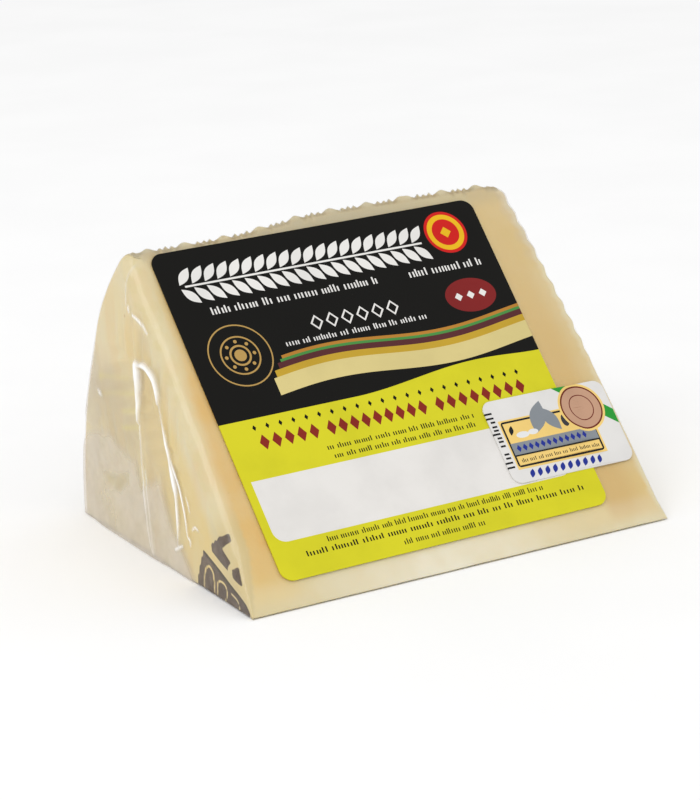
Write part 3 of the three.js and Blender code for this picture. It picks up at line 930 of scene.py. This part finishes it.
def seal_print():
    """The seal sticker's fields."""
    stripe = [(20.2, 21.5), (34.5, 9.6), (34.5, 13.4), (25.2, 21.5)]
    fields = [("green", stripe)]
    fields += small_print("black", 4, 20, 0.6, 1.9, 0.5, 21, upright=True)
    fields += [("pale_yellow", box(2.5, 3.3, 25.6, 12.8)), ("black", rounded_box(2.9, 3.8, 24.7, 11.9, 0.8)),
               ("pale_yellow", box(3.4, 4.3, 23.7, 10.9)), ("black", box(3.2, 6.6, 24.2, 0.4)),
               ("slate", box(3.3, 7.0, 24.1, 3.0))]
    fields += row_of(diamond(0, 8.5, 1.3, 1.9), "blue", 4.2, 24.5, 1.7)
    fields += small_print("black", 4.4, 26.6, 4.9, 1.0, 0.22, 22)
    fields += [("slate", leaf(13.4, 15.2, 9, 4.2, 62)), ("slate", leaf(16.6, 14.2, 7.5, 3.4, 118)),
               ("dark_slate", oval(20.2, 13, 1.0, 1.6, 16)), ("white", oval(7.6, 11.7, 1.8, 0.8, 20)),
               ("white", oval(10.6, 11.9, 1.4, 0.7, 20)), ("black", leaf(5.0, 13.2, 2.6, 1.2, 70))]
    fields += [("pale_yellow", oval(26.2, 15.4, 6.3, 6.3)), ("brown_line", oval(26.2, 15.4, 5.7, 5.7)),
               ("brown", oval(26.2, 15.4, 5.3, 5.3)), ("brown_line", oval(26.2, 15.4, 3.4, 3.4)),
               ("brown", oval(26.2, 15.4, 3.15, 3.15))]
    fields += row_of(leaf(0, 1.8, 2.4, 1.3, 65), "blue", 4.6, 26, 2.2)
    return fields


LABEL_INKS = {
    "yellow": (222, 216, 40), "black": (15, 14, 11), "white": (240, 238, 234), "paper": (238, 235, 231),
    "cream": (226, 209, 142), "ochre": (203, 166, 52), "maroon": (92, 46, 48),
    "green": (78, 148, 72), "orange": (190, 132, 52), "gold": (190, 154, 88), "red": (214, 32, 28),
    "seal_yellow": (243, 192, 32), "dark_red": (134, 36, 36), "brick": (140, 42, 30),
}
SEAL_INKS = {
    "paper": (234, 232, 229), "black": (32, 34, 36), "green": (46, 158, 58), "pale_yellow": (250, 214, 128),
    "slate": (142, 148, 154), "dark_slate": (64, 64, 68), "blue": (38, 54, 150), "white": (240, 240, 240),
    "brown": (203, 160, 132), "brown_line": (112, 40, 28),
}


def on_slope(plate, x, y, level):
    """A point of a sheet, in millimetres from its corner, as a point on the upper cut face."""
    turn = plate["turn"]
    along = plate["from_end"] + x * math.cos(turn) - y * math.sin(turn)
    up = plate["from_tip"] + x * math.sin(turn) + y * math.cos(turn)
    c, d = math.cos(CUT_ANGLE), math.sin(CUT_ANGLE)
    return (along, up * c - level * d, up * d + level * c)


def printed_sheet(name, plate, levels, inks, fields, grid, sink=lambda x: 0.0):
    """A closed sheet whose upper side is split along the print's outlines. sink lowers it along x."""
    outline = rounded_box(0, 0, plate["width"], plate["height"], plate["radius"], 10)
    shapes = [outline, *[shape for _, shape in fields]]
    flat, loops = [], []
    for shape in shapes:
        loops.append(list(range(len(flat), len(flat) + len(shape))))
        flat += [Vector(p) for p in shape]
    margin = grid / 2
    flat += [Vector((x, y)) for x in np.arange(margin, plate["width"], grid)
             for y in np.arange(margin, plate["height"], grid)]
    spots, _, faces, _, _, sources = delaunay_2d_cdt(flat, [], loops, INSIDE_ONLY, 1e-6, True)
    kept = [(list(face), max(source)) for face, source in zip(faces, sources) if 0 in source]
    names = list(inks)
    ink_of = [names[0]] + [ink for ink, _ in fields]
    count = len(spots)
    under, over = levels
    points = [on_slope(plate, p.x, p.y, level - sink(p.x)) for level in (over, under) for p in spots]
    top = [face for face, _ in kept]
    beside = {}
    for face, source in kept:
        for start, end in zip(face, face[1:] + face[:1]):
            beside[(start, end)] = source
    rim = [(start, end) for start, end in beside if (end, start) not in beside]
    walls = [[start, start + count, end + count, end] for start, end in rim]
    back = [[v + count for v in face[::-1]] for face in top]
    mesh = bpy.data.meshes.new(name)
    mesh.from_pydata(to_frame(np.array(points)).tolist(), [], top + back + walls)
    for ink in names:
        mesh.materials.append(ink_material(name + "_" + ink, srgb(*inks[ink])))
    slots = [names.index(ink_of[source]) for _, source in kept] + [0] * len(back)
    slots += [names.index(ink_of[beside[side]]) for side in rim]
    mesh.polygons.foreach_set("material_index", slots)
    tidy_mesh(mesh)
    return linked(name, mesh)


def tidy_mesh(mesh):
    """Drops loose vertices, and keeps a sheet's upper side smooth and its edges sharp."""
    work = bmesh.new()
    work.from_mesh(mesh)
    bmesh.ops.delete(work, geom=[v for v in work.verts if not v.link_faces], context="VERTS")
    work.to_mesh(mesh)
    work.free()
    mesh.shade_smooth()
    mesh.set_sharp_from_angle(angle=math.radians(40))


# Pieces.

def stamp_share(y, z, crest):
    """A worn stamp near the tip of the left face: two blocks, and a band with light rings in it."""
    blocks = np.max([area_share(y, z, block, STAMP_SOFT) for block in STAMP_BLOCKS], axis=0)
    edge = strongest_stroke(y, z, [STAMP_EDGE])
    share = np.maximum(blocks * (1 - RING_STRENGTH * strongest_stroke(y, z, STAMP_RINGS)), edge)
    return share * smooth(crest, *STAMP_FADE), edge


def rises_and_falls(value, rise, fall):
    return smooth(value, *rise) * (1 - smooth(value, *fall))


def cut_face_shares(x, radius):
    """Tints of the upper cut face: at its two ends, at its foot and below the rind."""
    low = 1 - smooth(radius, 30, 88)
    from_left = x - left_face(radius) - 2.2 * smooth(radius, 45, 85)
    right_end = smooth(x, 96, 99) * (1 - 0.6 * smooth(x, 103, 111)) * (0.6 + 0.4 * low)
    foot = rises_and_falls(radius, (1, 5), (20, 36)) * (1 - smooth(x, 8, 20))
    band = rises_and_falls(radius, (1, 5), (12, 18)) * smooth(x, 44, 96) * (0.65 + 0.35 * smooth(x, 88, 104))
    pallor = (0.2 + 0.7 * smooth(x, 14, 46)) * (1 - 0.7 * smooth(x, 56, 90))
    below_rind = smooth(radius, WHEEL_RADIUS - 7, WHEEL_RADIUS - 2.5)
    return {
        "beside": smooth(from_left, 0.6, 4.8) * (1 - smooth(x, 12, 16)) * (0.8 + 0.2 * low),
        "honey": right_end * smooth(radius, 1, 6),
        "golden": np.maximum(foot, band),
        "cream": (1 - smooth(radius, 5, 9)) * pallor,
        "dry": below_rind * (0.8 - 0.4 * smooth(x, 60, 105)),
    }


def left_face_shares(y, z, radius, crest, beside):
    """Tints of the left flat face: fields with a streak of painted shade, thin lines, the crest with a
    painted highlight, painted shade where the film touches, and the stamp.
    """
    fields = [field["share"] * area_share(y, z, field["outline"], field["soft"]) for field in TAN_AND_SHADE_FIELDS]
    stamp, stamp_edge = stamp_share(y, z, crest)
    return {
        # tan: bare tan fields and a darker streak of painted shade.
        "tan": np.max(fields, axis=0),
        "yellow": strongest_stroke(y, z, YELLOW_LINES),
        # A pale band along the crest: a painted highlight where the rounded crest catches the light.
        "pale_crest_highlight": 0.75 * (1 - smooth(crest, 2, 6)) * smooth(radius, 20, 36) * (1 - beside),
        "moss": 0.7 * (1 - smooth(radius, 20, 30)) * (1 - smooth(crest, 4, 10)),
        # Painted shade where the film touches the cheese again.
        "olive_touch_shade": 0.45 * area_share(y, z, TOUCH["outline"], TOUCH["soft"]),
        "stamp": stamp,
        "stamp_edge": stamp_edge,
    }


def cheese_marks(points, named):
    """The named shares, from 0 to 1, that the cheese's material paints by."""
    x = points[:, 0]
    radius, angle = named["radius"], named["angle"]
    crest = radius * (CUT_ANGLE - angle)
    upper = named["cut"] * (angle > 0)
    left = named["left"] * (1 - named["rind"]) * (1 - named["cut"])
    on_cut = cut_face_shares(x, radius)
    beside = on_cut.pop("beside")
    on_left = left_face_shares(radius * np.cos(angle), radius * np.sin(angle), radius, crest, beside)
    marks = {name: upper * share for name, share in on_cut.items()}
    marks |= {name: left * share for name, share in on_left.items()}
    glow = rises_and_falls(crest, (3.5, 9), (14, 34)) * (1 - 0.7 * smooth(radius, 30, 88))
    marks["golden"] = np.clip(marks["golden"] + left * glow, 0, 1)
    marks["amber"] = (upper + left) * beside * smooth(radius, 3, 13)
    marks["cut"] = named["cut"]
    marks["ridge"] = named["ridge"]
    outermost = smooth(radius, WHEEL_RADIUS - 1.6, WHEEL_RADIUS - 0.2)
    marks["rind"] = np.clip(named["rind"] + named["cut"] * outermost, 0, 1)
    return marks


def make_cheese():
    points, faces, named = Skin(CHEESE_STEPS, film=False).finished()
    inward = CLING["least"] + CLING["wide"] * (1 + wander(points, 9, 3))
    inward += CLING["fine"] * (1 + wander(points, 2.2, 5))
    moved = points - vertex_normals(points, faces) * inward[:, None]
    piece = skin_object("cheese", moved, faces, cheese_marks(points, named), cheese_material())
    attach(piece, "root")
    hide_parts("wrapped_wedge")


def make_film():
    skin = Skin(FILM_STEPS, film=True)
    points, faces, _ = skin.finished()
    rest = len(points) - len(skin.white)
    # white: the folds' whitened creases with painted highlights.
    marks = {"white": np.pad(skin.white, (0, rest)), "pocket": np.pad(skin.pocket, (0, rest))}
    piece = skin_object("clear_film", points, faces, marks, film_material())
    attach(piece, "root")
    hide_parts("wrapped_wedge")


def make_label():
    piece = printed_sheet("label_sheet", LABEL, LABEL_LEVELS, LABEL_INKS, label_print(), 4)
    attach(piece, "root")
    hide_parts("main_label")


def make_seal():
    edge = LABEL["from_end"] + LABEL["width"] - SEAL["from_end"]

    def sink(x):
        return SEAL_STEP * float(smooth(x, edge + 0.5, edge + 0.5 + SEAL_RAMP))

    piece = printed_sheet("seal_sheet", SEAL, SEAL_LEVELS, SEAL_INKS, seal_print(), 0.8, sink)
    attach(piece, "root")
    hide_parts("seal_sticker")


# Studio.

def make_floor():
    s = Shader("floor")
    shade = s.step(s.noise(60, 2), 0.3, 0.7)
    s.set(Base_Color=s.mix(shade, srgb(250, 250, 250, 1), srgb(252, 252, 252, 1)), Roughness=0.9,
          Specular_IOR_Level=0.0)
    mesh = bpy.data.meshes.new("floor")
    corners = [(side * FLOOR["half"], end * FLOOR["half"], -FLOOR["below"])
               for side, end in ((-1, -1), (1, -1), (1, 1), (-1, 1))]
    mesh.from_pydata(corners, [], [(0, 1, 2, 3)])
    mesh.materials.append(s.material)
    linked("floor", mesh)


def add_lamp(name, place, size, power, target):
    """A soft square lamp that faces the target."""
    data = bpy.data.lights.new(name, "AREA")
    data.size = size
    data.energy = power
    lamp = linked(name, data)
    lamp.location = place
    lamp.rotation_mode = "QUATERNION"
    lamp.rotation_quaternion = (Vector(target) - Vector(place)).to_track_quat("-Z", "Y")


def make_lights():
    world = bpy.data.worlds.new("studio")
    world.use_nodes = True
    world.node_tree.nodes["Background"].inputs["Color"].default_value = (1, 1, 1, 1)
    world.node_tree.nodes["Background"].inputs["Strength"].default_value = SKY_STRENGTH
    bpy.context.scene.world = world
    add_lamp("key", **KEY_LAMP)
    bpy.context.scene.view_settings.view_transform = "Standard"


def make_camera():
    data = bpy.data.cameras.new("camera")
    data.lens = LENS
    data.sensor_width = 36
    camera = linked("camera", data)
    azimuth, elevation = math.radians(AZIMUTH), math.radians(ELEVATION)
    back = Vector((
        math.sin(azimuth) * math.cos(elevation),
        -math.cos(azimuth) * math.cos(elevation),
        math.sin(elevation),
    ))
    towards = (-back).to_track_quat("-Z", "Y").to_matrix().to_4x4()
    turn = towards @ Matrix.Rotation(math.radians(ROLL), 4, "Z")
    camera.matrix_world = Matrix.Translation((Vector(LOOKS_AT) + back * DISTANCE) * MM) @ turn
    bpy.context.scene.camera = camera


make_cheese()
make_film()
make_label()
make_seal()
make_floor()
make_lights()
make_camera()
